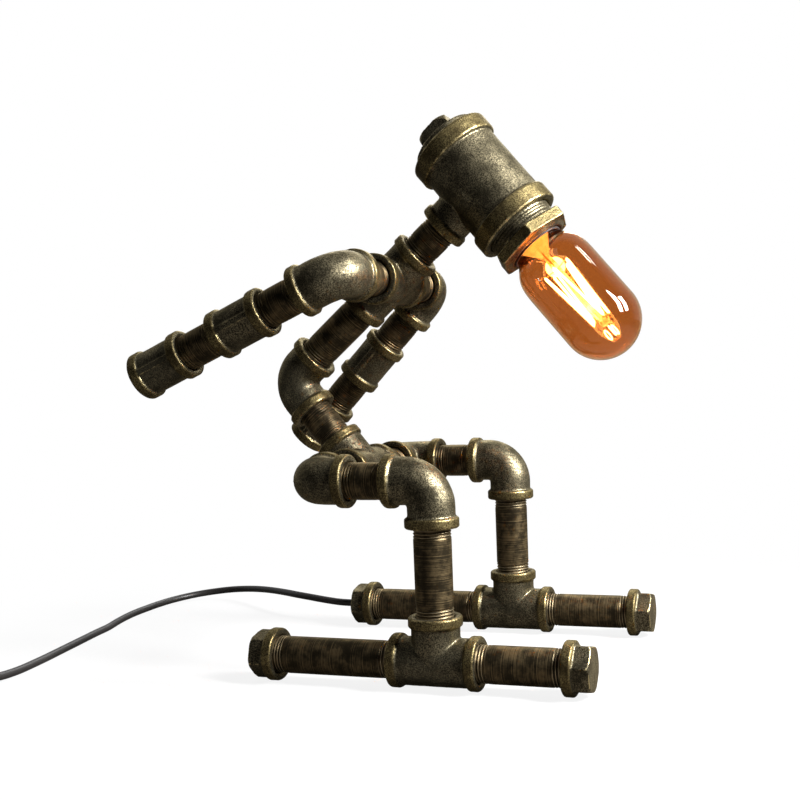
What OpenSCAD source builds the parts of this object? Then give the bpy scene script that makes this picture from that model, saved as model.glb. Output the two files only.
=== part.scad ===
// Desk lamp in the shape of a crouching robot, put together from threaded
// pipe fittings: tees, elbows, a cross, couplings, nipples and caps.
// Millimetres. The robot faces +X, its left side is +Y, +Z is up.
// The origin is on the table, under the middle of the lamp without its cord.

/* [Pipe and fittings] */
// Outside diameter of the half-inch pipe
pipe_d = 21.3; // [19:0.1:23]
// Wall of the pipe
pipe_wall = 2.7; // [1.8:0.1:3.5]
// Clearance between a nipple and its fitting, on the radius
thread_gap = 0.05; // [0.02:0.01:0.1]
// Pitch of the pipe thread
pitch = 1.8; // [1.2:0.1:2.4]
// Depth of the thread grooves
groove = 0.7; // [0.3:0.1:1.1]
// Length of thread screwed into each fitting
engage = 13.8; // [10:0.1:15]
// Free depth left past the end of each nipple
end_gap = 0.3; // [0.2:0.1:1]
// Length from a fitting's centre to its face
arm = 26; // [25:0.5:30]
// Diameter of the band round each mouth
band_d = 30.5; // [29:0.5:33]
// Width of the band
band_w = 6; // [4:0.5:8]
// Diameter of an elbow's body
elbow_d = 26.8; // [26:0.2:28.6]
// Diameter of a tee's body
tee_d = 27.4; // [26:0.2:28.6]
// Bend radius of an elbow on its centre line
bend_r = 14.5; // [14:0.5:16]
// Diameter of the waterway inside the fittings
way_d = 18; // [14:0.5:19]

/* [Legs] */
// Pipe left showing in the shin
shin_show = 48.9; // [30:0.1:80]
// Pipe left showing on every short nipple
short_show = 22.4; // [16:0.1:30]
// Pipe showing in front of the near foot's tee
near_front_show = 47.5; // [30:0.5:70]
// Pipe showing behind the near foot's tee
near_rear_show = 70.5; // [40:0.5:90]
// Pipe showing in front of the far foot's tee
far_front_show = 53; // [30:0.5:70]
// Pipe showing behind the far foot's tee
far_rear_show = 74.5; // [40:0.5:90]
// Length of an end cap
cap_l = 15.5; // [15:0.5:20]
// Width across the flats of an end cap
cap_af = 24.3; // [24:0.1:28]

/* [Torso and arms] */
// Lean of the torso's lower part, up from level, towards the back
hip_tilt = 50.2; // [40:0.1:60]
// Pipe left showing in the spine
spine_show = 40.7; // [30:0.1:60]
// Pipe left showing in the neck
neck_show = 19.9; // [16:0.1:24]
// Near arm's angle below level, towards the back
near_drop = 22.5; // [0:0.5:45]
// Far arm's angle below level, towards the back
far_drop = 45.2; // [20:0.1:48]
// Length of an arm coupling
coupling_l = 35; // [32:0.5:45]
// Diameter of a coupling's bands
coupling_band_d = 29; // [28.5:0.5:31]
// Diameter of a coupling's body
coupling_d = 25.8; // [25.2:0.2:28]
// Width of a coupling's band
coupling_band_w = 6.4; // [4:0.2:8]
// Width of the ribs along a coupling
rib_w = 3.6; // [2:0.2:5]

/* [Head] */
// Length from the head tee's axis to its branch mouth
head_branch = 36.7; // [36:0.1:42]
// Half the length of the head tee's run
head_half = 33.5; // [31:0.5:38]
// Diameter of the head tee's bands
head_band_d = 53.2; // [51:0.2:56]
// Width of the head tee's bands
head_band_w = 11; // [8:0.5:12]
// Diameter of the head tee's body
head_d = 48.6; // [47:0.2:50]
// Diameter of the large pipe thread
big_thread_d = 42.4; // [41:0.1:43]
// Length of large thread screwed into the head
big_engage = 14; // [10:0.5:15]
// Large thread left showing under the lower band
big_show = 7.8; // [3:0.1:9]
// Thickness of the bushing's hexagon
hex_t = 6.8; // [6:0.1:12]
// Width across the flats of the bushing's hexagon
hex_af = 45.2; // [44:0.2:48]
// Height of the domed lip between the hexagon and the bushing's mouth
lip_h = 1.7; // [1:0.1:3]
// Bore of the bushing
mouth_d = 33.8; // [32:0.2:35]
// Width of the square on the head's top plug
plug_sq = 21; // [16:0.5:24]
// Height of the square on the head's top plug
plug_h = 9.5; // [6:0.5:12]
// Height of the round shoulder under that square
plug_shoulder = 4.5; // [2:0.5:7]

/* [Bulb and lampholder] */
// Diameter of the bulb's glass tube
bulb_d = 47.5; // [44:0.5:48]
// Distance from the head tee's axis to the tip of the bulb
bulb_reach = 131; // [115:0.5:140]
// Diameter of the bulb's neck
bulb_neck_d = 31; // [28:0.5:32]
// Thickness of the glass
glass_t = 1; // [0.8:0.1:1.5]
// Diameter of the bulb's screw base
base_d = 26.2; // [26:0.1:26.6]
// Length of the bulb's screw base
base_l = 26; // [24:0.5:27]
// Outside diameter of the lampholder
holder_d = 33.2; // [31.8:0.2:33.4]
// Clearance round the bulb's screw base
base_gap = 0.3; // [0.2:0.05:0.5]
// Number of long strands in the filament cage
strands = 10; // [6:2:14]

/* [Cord] */
// Diameter of the cord
cord_d = 5; // [4.5:0.1:5.4]
// Turns in the put-away coil
coil_turns = 7.5; // [5.5:1:9.5]
// Radius of the coil's outer turn
coil_r = 36; // [34:0.5:40]
// Distance between neighbouring turns
coil_pitch = 5.5; // [5.5:0.1:6]
// Length of the in-line switch
switch_l = 62; // [50:1:70]
// Width of the in-line switch
switch_w = 27; // [24:0.5:32]
// Height of the in-line switch
switch_h = 19; // [17:0.5:24]
// Length of the plug's body
plug_body_l = 24; // [20:0.5:34]

/* [Hidden] */
$fn = 64;
pipe_r = pipe_d / 2;
socket_r = pipe_r + thread_gap;
way_r = way_d / 2;
band_r = band_d / 2;
skin = 1; // how far a cutting shape runs past the face that it opens
bevel = 0.8; // bevel on the edges of the bands
mouth_bevel = 1.2; // countersink at each threaded mouth
rings = 4; // grooves in the thread that shows at a fitting
cap_top = 3; // end wall of a cap
cap_bevel = 1.6; // bevel round the end of a cap's hexagon
grommet_hole_r = 4.5; // hole for the cord in the far rear cap
press_gap = 0.05; // gap round a part that is pushed into its hole

// The skeleton: centres of the fittings, in the plane y = 0 unless told.
// A heading of 0 points up and 90 points forwards.
function heading(a) = [sin(a), 0, cos(a)];
short_step = 2 * arm + short_show;
short_l = short_show + 2 * engage;
back_up = hip_tilt - 90;
up_front = hip_tilt;
head_run = back_up + 180;
near_head = -90 - near_drop;
far_head = -90 - far_drop;
foot_z = max(band_r, cap_af / sqrt(3));
knee_z = foot_z + 2 * arm + shin_show;
// Forward reach of the bulb and backward reach of the near hand set the origin
hand_l = arm + 2 * (short_show + coupling_l);
shoulder_rel = [-short_step, 0, knee_z] + short_step * heading(back_up)
    + (2 * arm + spine_show) * heading(up_front);
head_rel = shoulder_rel + (arm + neck_show + head_branch) * heading(up_front);
reach_front = head_rel.x + (bulb_reach - bulb_d / 2) * heading(head_run).x + bulb_d / 2;
reach_back = shoulder_rel.x + hand_l * heading(near_head).x
    - coupling_band_d / 2 * sin(near_drop);
origin_x = (reach_front + reach_back) / 2;

side = short_step;
foot = [-origin_x, 0, foot_z];
knee = [-origin_x, 0, knee_z];
hip = knee - [short_step, 0, 0];
waist = hip + short_step * heading(back_up);
shoulder = shoulder_rel - [origin_x, 0, 0];
head = head_rel - [origin_x, 0, 0];
near = [0, -side, 0];
far = [0, side, 0];

// Cord. It leaves the far foot's rear cap, rises a little, comes down behind
// the lamp and lies along the table to the switch, the coil and the plug.
cord_r = cord_d / 2;
lie_z = 3.4; // height of a cord that lies on the coil's tie
lead_way = [
    [-66, 74.4, 15.2], [-78, 74.4, 15.2], [-90, 75, 15.4], [-104, 78.5, 16],
    [-118, 84, 16.4], [-132, 91.5, 16.2], [-146, 101, 15.6], [-160, 111, 14.6],
    [-174, 120.5, 13.4], [-188, 129, 12], [-202, 136, 10.4], [-216, 140, 8.8],
    [-229, 140, 7.2], [-241, 135.5, 5.8], [-250, 126.5, 4.7], [-256, 114, 3.9],
    [-259, 100, 3.3], [-260, 86, 2.8], [-259.5, 71, 2.6], [-257, 55, 2.5],
    [-253, 39, 2.5], [-248, 22, 2.5], [-245, 5, 2.5], [-241.5, -12, 2.5],
    [-238, -29, 2.5], [-234.5, -46, 2.5], [-231, -63, 2.5], [-228, -80, 2.5],
    [-225.5, -97, 2.6], [-224, -114, 3.5], [-224, -130, 5.6], [-224, -142, 7.2],
    [-224, -150, 7.5], [-224, -156, 7.5]];
switch_y = -150; // end of the switch that the lamp's lead goes into
switch_x = -224;
switch_axis_z = 7.5;
link_way = [
    [-224, -206, 7.5], [-224, -212, 7.5], [-224, -220, 7.1],
    [-224, -229, 5.6], [-224, -236, 3.9], [-224, -243, 3.4], [-224, -250, 3.4]];
coil_c = [-260, -255, lie_z];
tail_way = [
    [-296, -250, 8.9], [-296, -243, 8.9], [-296, -236, 8.5], [-296, -229, 8],
    [-296, -224, 8]];

// ---- Shared shapes, each along +Z from its fitting's centre ----

// Turned disc with bevelled edges
module bevelled(r, w, b = bevel) {
    rotate_extrude()
        polygon([[0, 0], [r - b, 0], [r, b], [r, w - b], [r - b, w], [0, w]]);
}

// Band round a mouth whose face is at height l
module mouth_band(l, r = band_r, w = band_w) {
    translate([0, 0, l - w]) bevelled(r, w);
}

// Body and band of one mouth
module limb(l, body_r, r = band_r) {
    cylinder(r = body_r, h = l - band_w / 2);
    mouth_band(l, r);
}

// Threaded socket with its countersink, face at height l
module socket(l, depth = engage + end_gap, r = socket_r) {
    translate([0, 0, l - depth]) cylinder(r = r, h = depth + skin);
    translate([0, 0, l - mouth_bevel])
        cylinder(r1 = r, r2 = r + mouth_bevel + skin, h = mouth_bevel + skin);
}

// Socket and the waterway behind it
module bore(l) {
    cylinder(r = way_r, h = l);
    socket(l);
}

// Pipe nipple: a plain end sits in each fitting and rings of thread show
// beside each face. It runs from z = 0 to l, with the faces at a and l - b.
module nipple(l, a = engage, b = engage, r = pipe_r, wall = pipe_wall) {
    low = [for (i = [0 : rings - 1])
        each [[r, a + pitch * i], [r - groove, a + pitch * (i + 0.5)]]];
    high = [for (i = [rings - 1 : -1 : 0])
        each [[r - groove, l - b - pitch * (i + 0.5)], [r, l - b - pitch * i]]];
    rotate_extrude() polygon(concat(
        [[r - wall, 0], [r - bevel, 0], [r, bevel]],
        low, [[r, a + pitch * rings], [r, l - b - pitch * rings]], high,
        [[r, l - bevel], [r - bevel, l], [r - wall, l]]));
}

// Elbow with its mouths along +Z and +X
module elbow() {
    difference() {
        union() {
            bend(elbow_d / 2);
            for (a = [0, 90]) rotate([0, a, 0]) {
                translate([0, 0, bend_r]) cylinder(d = elbow_d, h = arm - bend_r - band_w / 2);
                mouth_band(arm);
            }
        }
        bend(way_r);
        for (a = [0, 90]) rotate([0, a, 0]) {
            translate([0, 0, bend_r - 0.01]) cylinder(r = way_r, h = arm - bend_r);
            socket(arm);
        }
    }
}

// Quarter of a ring that joins the +Z and +X limbs of an elbow
module bend(r) {
    translate([bend_r, 0, bend_r])
        rotate([90, 0, 0])
        rotate([0, 0, 180])
        rotate_extrude(angle = 90) translate([bend_r, 0]) circle(r = r);
}

// Tee with its run along X and its branch along +Z; a cross adds the -Z mouth
module tee(heads = [0, 90, -90]) {
    difference() {
        for (a = heads) rotate([0, a, 0]) limb(arm, tee_d / 2);
        for (a = heads) rotate([0, a, 0]) bore(arm);
    }
}

// End cap: its mouth is at z = 0 and its closed end at cap_l
module cap(hole_r = 0) {
    hex_r = cap_af / sqrt(3);
    difference() {
        union() {
            bevelled(band_r, band_w);
            intersection() {
                rotate([0, 0, 16]) cylinder(r = hex_r, h = cap_l, $fn = 6);
                union() {
                    cylinder(r = hex_r + skin, h = cap_l - cap_bevel);
                    translate([0, 0, cap_l - cap_bevel])
                        cylinder(r1 = hex_r + 0.2, r2 = hex_r - cap_bevel, h = cap_bevel);
                }
            }
        }
        rotate([180, 0, 0]) socket(0, cap_l - cap_top);
        cylinder(r = hole_r, h = hole_r > 0 ? cap_l + skin : 0);
    }
}

// Coupling: z = 0 to coupling_l, with two long ribs
module coupling() {
    r = coupling_band_d / 2;
    rib_r = r - 0.6;
    difference() {
        union() {
            cylinder(d = coupling_d, h = coupling_l);
            bevelled(r, coupling_band_w);
            translate([0, 0, coupling_l - coupling_band_w]) bevelled(r, coupling_band_w);
            translate([-rib_w / 2, -rib_r, coupling_band_w / 2])
                cube([rib_w, 2 * rib_r, coupling_l - coupling_band_w]);
        }
        translate([0, 0, -skin]) cylinder(r = way_r, h = coupling_l + 2 * skin);
        socket(coupling_l);
        rotate([180, 0, 0]) socket(0);
    }
}

// ---- Placing: at a point along a heading, or towards one side ----

module at(p, a = 0) {
    translate(p) rotate([0, a, 0]) children();
}

// s is 1 towards the far side and -1 towards the near side
module sideways(p, s) {
    translate(p) rotate([-90 * s, 0, 0]) children();
}

// Elbow on side s that joins a crosswise mouth to an arm along heading a
module side_elbow(p, a, s) {
    at(p, a - 90) rotate([90 * s, 0, 0]) elbow();
}

iron = [0.24, 0.2, 0.15];
pipe_dark = [0.16, 0.14, 0.11];

// ---- Feet and legs ----

cap_in = cap_l - cap_top - end_gap;
first = arm - engage; // distance from a fitting's centre to a nipple's end

module foot_tee(s) {
    color(iron) translate(foot + s) tee();
}

module foot_nipple(s, a, show) {
    color(pipe_dark) at(foot + s + first * heading(a), a)
        nipple(engage + show + cap_in, engage, cap_in);
}

module foot_cap(s, a, show, hole_r = 0) {
    color(iron) at(foot + s + (arm + show) * heading(a), a) cap(hole_r);
}

module shin(s) {
    color(pipe_dark) translate(foot + s + [0, 0, first]) nipple(shin_show + 2 * engage);
}

module knee_elbow(s) {
    color(iron) at(knee + s, 180) elbow();
}

module thigh(s) {
    color(pipe_dark) at(knee + s - [first, 0, 0], -90) nipple(short_l);
}

module hip_elbow(s, dir) {
    color(iron) side_elbow(hip + s, 90, dir);
}

module hip_nipple(dir) {
    color(pipe_dark) sideways(hip + [0, dir * first, 0], dir) nipple(short_l);
}

// ---- Torso ----

module hip_tee() {
    color(iron) at(hip, back_up) rotate([0, 0, 90]) tee();
}

module waist_nipple() {
    color(pipe_dark) at(hip + first * heading(back_up), back_up) nipple(short_l);
}

module waist_elbow() {
    color(iron) at(waist, up_front) elbow();
}

module spine_nipple() {
    color(pipe_dark) at(waist + first * heading(up_front), up_front)
        nipple(spine_show + 2 * engage);
}

module shoulder_cross() {
    color(iron) at(shoulder, up_front) rotate([0, 0, 90]) tee([0, 180, 90, -90]);
}

// ---- Arms ----

module shoulder_nipple(dir) {
    color(pipe_dark) sideways(shoulder + [0, dir * first, 0], dir) nipple(short_l);
}

module shoulder_elbow(s, a, dir) {
    color(iron) side_elbow(shoulder + s, a, dir);
}

module upper_nipple(s, a) {
    color(pipe_dark) at(shoulder + s + first * heading(a), a) nipple(short_l);
}

module upper_coupling(s, a) {
    color(iron) at(shoulder + s + (arm + short_show) * heading(a), a) coupling();
}

module fore_nipple(s, a) {
    along = arm + short_show + coupling_l - engage;
    color(pipe_dark) at(shoulder + s + along * heading(a), a) nipple(short_l);
}

module hand_coupling(s, a) {
    color(iron) at(shoulder + s + (hand_l - coupling_l) * heading(a), a) coupling();
}

// ---- Neck and head ----

neck_in = short_l - engage - neck_show;
big_r = big_thread_d / 2;
cavity_r = big_r - 1.7;
thread_z = head_half - big_engage; // inner end of the bushing
hex_z = head_half + big_show;
lip_z = hex_z + hex_t;
mouth_z = lip_z + lip_h;

module neck_nipple() {
    color(pipe_dark) at(shoulder + first * heading(up_front), up_front)
        nipple(short_l, engage, neck_in);
}

module head_tee() {
    big_socket_r = big_r + thread_gap;
    color(iron) at(head, head_run) difference() {
        union() {
            cylinder(d = head_d, h = 2 * head_half - head_band_w, center = true);
            for (a = [0, 180]) rotate([0, a, 0])
                mouth_band(head_half, head_band_d / 2, head_band_w);
            rotate([0, 90, 0]) limb(head_branch, tee_d / 2);
        }
        cylinder(r = cavity_r, h = 2 * head_half, center = true);
        for (a = [0, 180]) rotate([0, a, 0])
            socket(head_half, big_engage + end_gap, big_socket_r);
        rotate([0, 90, 0]) {
            cylinder(r = way_r, h = head_branch);
            socket(head_branch, neck_in + end_gap);
        }
    }
}

// Plug in the top of the head: thread, round shoulder and square
module head_plug() {
    top = plug_shoulder + plug_h;
    core_r = 14;
    color(iron) at(head, head_run + 180) translate([0, 0, head_half]) difference() {
        union() {
            translate([0, 0, -big_engage]) bevelled(big_r, big_engage + plug_shoulder);
            intersection() {
                translate([-plug_sq / 2, -plug_sq / 2, 0]) cube([plug_sq, plug_sq, top]);
                cylinder(r1 = plug_sq, r2 = plug_sq / 2 + bevel, h = top);
            }
        }
        translate([0, 0, -big_engage - skin]) cylinder(r = core_r, h = big_engage);
    }
}

// Hexagon bushing under the head; the lampholder hangs in its bore
module bushing() {
    hex_r = hex_af / sqrt(3);
    lip_r = hex_af / 2 - 1.2;
    lip_top_r = mouth_d / 2 + mouth_bevel + 0.5;
    rib = [for (i = [0 : 2]) each [
        [big_r, head_half + pitch * i], [big_r - groove, head_half + pitch * (i + 0.5)]]];
    color(iron) at(head, head_run) difference() {
        union() {
            rotate_extrude() polygon(concat(
                [[0, thread_z], [big_r - bevel, thread_z], [big_r, thread_z + bevel]], rib,
                [[big_r, head_half + pitch * 3], [big_r, hex_z + skin], [0, hex_z + skin]]));
            intersection() {
                translate([0, 0, hex_z]) rotate([0, 0, 16])
                    cylinder(r = hex_r, h = hex_t, $fn = 6);
                translate([0, 0, hex_z]) bevelled(hex_r + 0.1, hex_t, 0.9);
            }
            translate([0, 0, lip_z - skin])
                cylinder(r1 = lip_r + skin * (lip_r - lip_top_r) / lip_h, r2 = lip_top_r,
                    h = lip_h + skin);
        }
        translate([0, 0, thread_z - skin])
            cylinder(d = mouth_d, h = mouth_z - thread_z + 2 * skin);
        translate([0, 0, mouth_z - mouth_bevel])
            cylinder(d1 = mouth_d, d2 = mouth_d + 2 * mouth_bevel + skin, h = mouth_bevel + skin / 2);
    }
}

// ---- Lampholder and bulb, in the head's own frame ----

holder_z = 6; // back of the lampholder
holder_floor = 5; // end wall of the lampholder
neck_z = mouth_z - 4; // where the glass leaves the screw base
base_r = base_d / 2;
shell_t = 0.8;
shell_r = base_r + base_gap + shell_t;
tip_z = neck_z - base_l;
flange_t = 3;
skirt_z = mouth_z + 0.6; // rim of the lampholder, round the bulb's neck

module lampholder() {
    color([0.12, 0.11, 0.1]) at(head, head_run) difference() {
        union() {
            translate([0, 0, holder_z]) bevelled(holder_d / 2, skirt_z - holder_z, 0.25);
            translate([0, 0, thread_z - flange_t]) cylinder(r = cavity_r - 0.8, h = flange_t);
        }
        translate([0, 0, neck_z - 0.5]) cylinder(d = bulb_neck_d + 0.7, h = base_l);
        translate([0, 0, holder_z + holder_floor]) cylinder(r = shell_r + press_gap, h = neck_z);
        translate([0, 0, holder_z - skin]) cylinder(r = 2, h = holder_floor + 2 * skin);
    }
}

module holder_shell() {
    z = holder_z + holder_floor + press_gap;
    color([0.75, 0.6, 0.3]) at(head, head_run) difference() {
        translate([0, 0, z]) cylinder(r = shell_r, h = neck_z - 3 - z);
        translate([0, 0, z + shell_t]) cylinder(r = shell_r - shell_t, h = neck_z);
        translate([0, 0, z - skin]) cylinder(r = 6, h = 3);
    }
}

module centre_contact() {
    color([0.8, 0.65, 0.35]) at(head, head_run) translate([0, 0, holder_z + holder_floor])
        cylinder(r = 4.5, h = tip_z - press_gap - holder_z - holder_floor);
}

module bulb_base() {
    turn = 3.6;
    turns = 5;
    z = tip_z + 5;
    crest = [for (i = [0 : turns - 1]) each [
        [base_r - 0.7, z + turn * i], [base_r, z + turn * (i + 0.35)],
        [base_r, z + turn * (i + 0.6)]]];
    color([0.72, 0.68, 0.6]) at(head, head_run) rotate_extrude() polygon(concat(
        [[0, tip_z], [4, tip_z], [5, tip_z + 2], [10, z - 0.5], [base_r - 0.7, z - 0.5]],
        crest,
        [[base_r - 0.7, z + turn * turns], [base_r - 0.7, neck_z],
        [base_r - 1.7, neck_z], [base_r - 1.7, z + 2], [0, z + 2]]));
}

swell_z = mouth_z - 0.3; // where the glass starts to swell out of its neck
swell_l = 7.8; // how slowly it swells
swell_at = [0, 1.2, 2.4, 3.8, 5.4, 7.2, 9.2, 11.6, 14.4, 18, 23];

function arc(c, rx, rz, a0, a1, n) =
    [for (i = [0 : n]) let (a = a0 + (a1 - a0) * i / n) c + [rx * cos(a), rz * sin(a)]];

// Share of the swell from neck to full width, reached at height z
function swell(z) =
    let (x = max(0, z - swell_z) / swell_l, e = exp(2 * x)) pow((e - 1) / (e + 1), 2);

// Half outline of the glass, t inside its outer face
function glass_line(t) =
    let (r = bulb_d / 2, n = bulb_neck_d / 2)
    concat([[n - t, neck_z]],
        [for (h = swell_at) [n - t + (r - n) * swell(swell_z + h), swell_z + h]],
        arc([0, bulb_reach - r], r - t, r - t, 0, 90, 16));

module bulb_glass() {
    outer = glass_line(0);
    inner = glass_line(glass_t);
    color([0.85, 0.45, 0.15, 0.5]) at(head, head_run)
        rotate_extrude() polygon(concat(outer, [for (i = [len(inner) - 1 : -1 : 0]) inner[i]]));
}

cage_r = 6.4; // cage at the bulb's tip end
cage_back_r = 9; // cage at the base end
cage_low = mouth_z + 18;
cage_high = bulb_reach - 24;
stem_r = 2.2;
flare_r = 11; // foot of the glass stem, in the bulb's neck
flare_h = 11;
button_r = stem_r + 0.6;

module bulb_stem() {
    rod_z = neck_z + flare_h;
    color([0.9, 0.7, 0.5]) at(head, head_run) {
        translate([0, 0, neck_z + end_gap]) cylinder(r1 = flare_r, r2 = stem_r + 0.8, h = flare_h);
        translate([0, 0, rod_z]) cylinder(r = stem_r, h = cage_high + button_r - rod_z);
        translate([0, 0, cage_high + button_r]) sphere(r = button_r);
    }
}

// Round bar from point a to point b
module bar(a, b, r) {
    d = b - a;
    translate(a) rotate([0, acos(d.z / norm(d)), atan2(d.y, d.x)]) cylinder(r = r, h = norm(d));
}

// Squirrel-cage filament: strands that zigzag round the stem between hooks,
// each hook on an arm from the stem
module bulb_filament() {
    wire = 0.45;
    bead_r = 0.6;
    arm_r = 0.35;
    step = 360 / strands;
    color([1, 0.75, 0.3]) at(head, head_run) {
        hooks = [for (i = [0 : strands]) let (up = i % 2 == 0, r = up ? cage_r : cage_back_r)
            [r * cos(i * step), r * sin(i * step), up ? cage_high : cage_low]];
        for (i = [0 : strands - 1]) {
            translate(hooks[i]) sphere(r = bead_r);
            bar(hooks[i], hooks[i + 1], wire);
            rotate([0, 0, i * step]) translate([stem_r + press_gap, 0, hooks[i].z])
                rotate([0, 90, 0])
                cylinder(r = arm_r, h = norm([hooks[i].x, hooks[i].y]) - stem_r - press_gap);
        }
    }
}

// ---- Cord and the pieces on it ----

function unit(v) = v / norm(v);

// Direction of a line of points at point i
function along(p, i) = unit(p[min(i + 1, len(p) - 1)] - p[max(i - 1, 0)]);

// Rings round a line of points that never stands upright
function tube_rings(p, r, n) = [for (i = [0 : len(p) - 1])
    let (t = along(p, i), a = unit(cross([0, 0, 1], t)), b = cross(t, a))
    each [for (k = [0 : n - 1]) let (w = 360 * (k + 0.5) / n)
        p[i] + r * (cos(w) * a + sin(w) * b)]];

// Tube of n sides swept along the points
module tube(p, r, n) {
    m = len(p);
    polyhedron(
        points = tube_rings(p, r, n),
        faces = concat(
            [[for (k = [0 : n - 1]) k]],
            [for (i = [0 : m - 2], k = [0 : n - 1]) let (j = (k + 1) % n)
                [i * n + k, (i + 1) * n + k, (i + 1) * n + j]],
            [for (i = [0 : m - 2], k = [0 : n - 1]) let (j = (k + 1) % n)
                [i * n + k, (i + 1) * n + j, i * n + j]],
            [[for (k = [n - 1 : -1 : 0]) (m - 1) * n + k]]));
}

module cord_lead() {
    color("black") tube(lead_way, cord_r, 8);
}

module cord_link() {
    color("black") tube(link_way, cord_r, 8);
}

module cord_tail() {
    color("black") tube(tail_way, cord_r, 8);
}

// Coil: spirals in on the table, climbs one layer as it reverses, spirals out
function smooth(x) = let (c = min(max(x, 0), 1)) c * c * (3 - 2 * c);
function coil_point(t) =
    let (r = coil_r - coil_pitch * min(t, coil_turns - t), a = -360 * t)
    coil_c + [r * cos(a), r * sin(a), coil_pitch * smooth(2 * (t - coil_turns / 2) + 0.5)];
steps = round(24 * coil_turns);
coil_line = concat(
    [coil_point(0) + [0, cord_d, 0]],
    [for (i = [0 : steps]) coil_point(i * coil_turns / steps)],
    [coil_point(coil_turns) + [0, cord_d, 0]]);

// Least gap between points of the coil that are more than half a turn apart
coil_gap = min([for (i = [0 : len(coil_line) - 14], j = [i + 13 : len(coil_line) - 1])
    norm(coil_line[i] - coil_line[j])]) - cord_d;

module cord_coil() {
    echo(coil_gap = coil_gap);
    color("black") tube(coil_line, cord_r, 6);
}

// Flat tie round the coil's turns
module coil_tie() {
    t = 0.8;
    w = 8;
    r_in = coil_r - coil_pitch * coil_turns / 2 - cord_r - 0.4;
    r_out = coil_r + cord_r + 0.5;
    tall = 2 * lie_z - 2 * t + coil_pitch + 0.2;
    color([0.1, 0.1, 0.1]) translate([coil_c.x - w / 2, coil_c.y, 0]) difference() {
        translate([0, -r_out - t, 0]) cube([w, r_out - r_in + 2 * t, tall + 2 * t]);
        translate([-skin, -r_out, t]) cube([w + 2 * skin, r_out - r_in, tall]);
    }
}

// Bush in the drilled cap that the cord comes out of
module grommet() {
    lip = 1.8;
    x = foot.x - arm - far_rear_show - cap_l;
    color([0.08, 0.08, 0.08]) at([x, side, foot_z], -90) difference() {
        union() {
            translate([0, 0, -cap_top]) cylinder(r = grommet_hole_r - press_gap, h = cap_top + lip);
            cylinder(r1 = grommet_hole_r + 1.6, r2 = grommet_hole_r + 0.6, h = lip);
        }
        translate([0, 0, -cap_top - skin]) cylinder(r = cord_r + 0.3, h = cap_top + lip + 2 * skin);
    }
}

// Rounded slab along Y that starts at the origin
module slab(l, w, h, r) {
    linear_extrude(h) union() {
        translate([-w / 2 + r, -l]) square([w - 2 * r, l]);
        translate([-w / 2, -l + r]) square([w, l - 2 * r]);
        for (x = [-w / 2 + r, w / 2 - r], y = [-l + r, -r]) translate([x, y]) circle(r = r);
    }
}

pocket_z = 4; // floor of the pocket under the rocker
split_z = 8; // joint between the two halves of the switch
slot_l = 22;
slot_w = 12;
rocker_tilt = 9; // the rocker rests tipped to one side
pivot_z = 14.5;
pivot_r = 1.5;

module switch_frame() {
    translate([switch_x, switch_y, 0]) children();
}

// Pocket round the rocker, and the hole that the cord enters by
module switch_hollow() {
    translate([-slot_w / 2, -(switch_l + slot_l) / 2, pocket_z]) cube([slot_w, slot_l, switch_h]);
    translate([0, skin, switch_axis_z]) rotate([90, 0, 0])
        cylinder(r = cord_r + 0.1, h = switch_l + 2 * skin);
}

module switch_base() {
    color([0.1, 0.1, 0.1]) switch_frame() difference() {
        translate([0, 0, 0]) slab(switch_l, switch_w, split_z, 9);
        switch_hollow();
    }
}

module switch_cover() {
    color([0.12, 0.12, 0.12]) switch_frame() difference() {
        translate([0, 0, split_z]) slab(switch_l, switch_w, switch_h - split_z - 2, 9);
        switch_hollow();
        translate([0, -switch_l / 2, pivot_z]) rotate([0, 90, 0])
            cylinder(r = pivot_r + 0.05, h = slot_w + 4, center = true);
    }
}

// Fixed contacts on the pocket's floor, one under each end of the rocker
module switch_contacts() {
    w = slot_w - 4;
    color([0.8, 0.65, 0.35]) switch_frame()
        for (y = [-0.3, 0.3] * slot_l) translate([-w / 2, y - switch_l / 2 - 2, pocket_z])
            cube([w, 4, split_z - pocket_z]);
}

// Rocker on its pivot pin, with a shallow V on top
module switch_rocker() {
    w = slot_w - 0.6;
    l = slot_l / 2 - 0.9;
    color([0.7, 0.1, 0.08]) switch_frame() translate([0, -switch_l / 2, pivot_z]) rotate([rocker_tilt, 0, 0]) {
        rotate([90, 0, 90]) translate([0, 0, -w / 2]) linear_extrude(w)
            polygon([[-l, 1], [-l, 4.6], [0, 3], [l, 4.6], [l, 1], [4, -4], [-4, -4]]);
        rotate([0, 90, 0]) cylinder(r = pivot_r, h = slot_w + 3, center = true);
    }
}

plug_z = 8;
plug_y = -224; // end of the plug's strain relief
relief_l = 12;

module plug_frame() {
    translate([tail_way[0].x, plug_y, plug_z]) rotate([-90, 0, 0]) children();
}

module plug_body() {
    h = 2 * plug_z;
    color([0.09, 0.09, 0.09]) plug_frame() {
        cylinder(r1 = cord_r + 1.2, r2 = cord_r + 2.6, h = relief_l);
        translate([0, 0, relief_l]) intersection() {
            cylinder(r = 13, h = plug_body_l);
            translate([-13, -h / 2, 0]) cube([26, h, plug_body_l]);
        }
    }
}

module plug_blade(x) {
    color([0.8, 0.75, 0.6]) plug_frame()
        translate([x - 0.75, -3.2, relief_l + plug_body_l]) cube([1.5, 6.4, 17.5]);
}

// ---- Nodes ----

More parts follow.
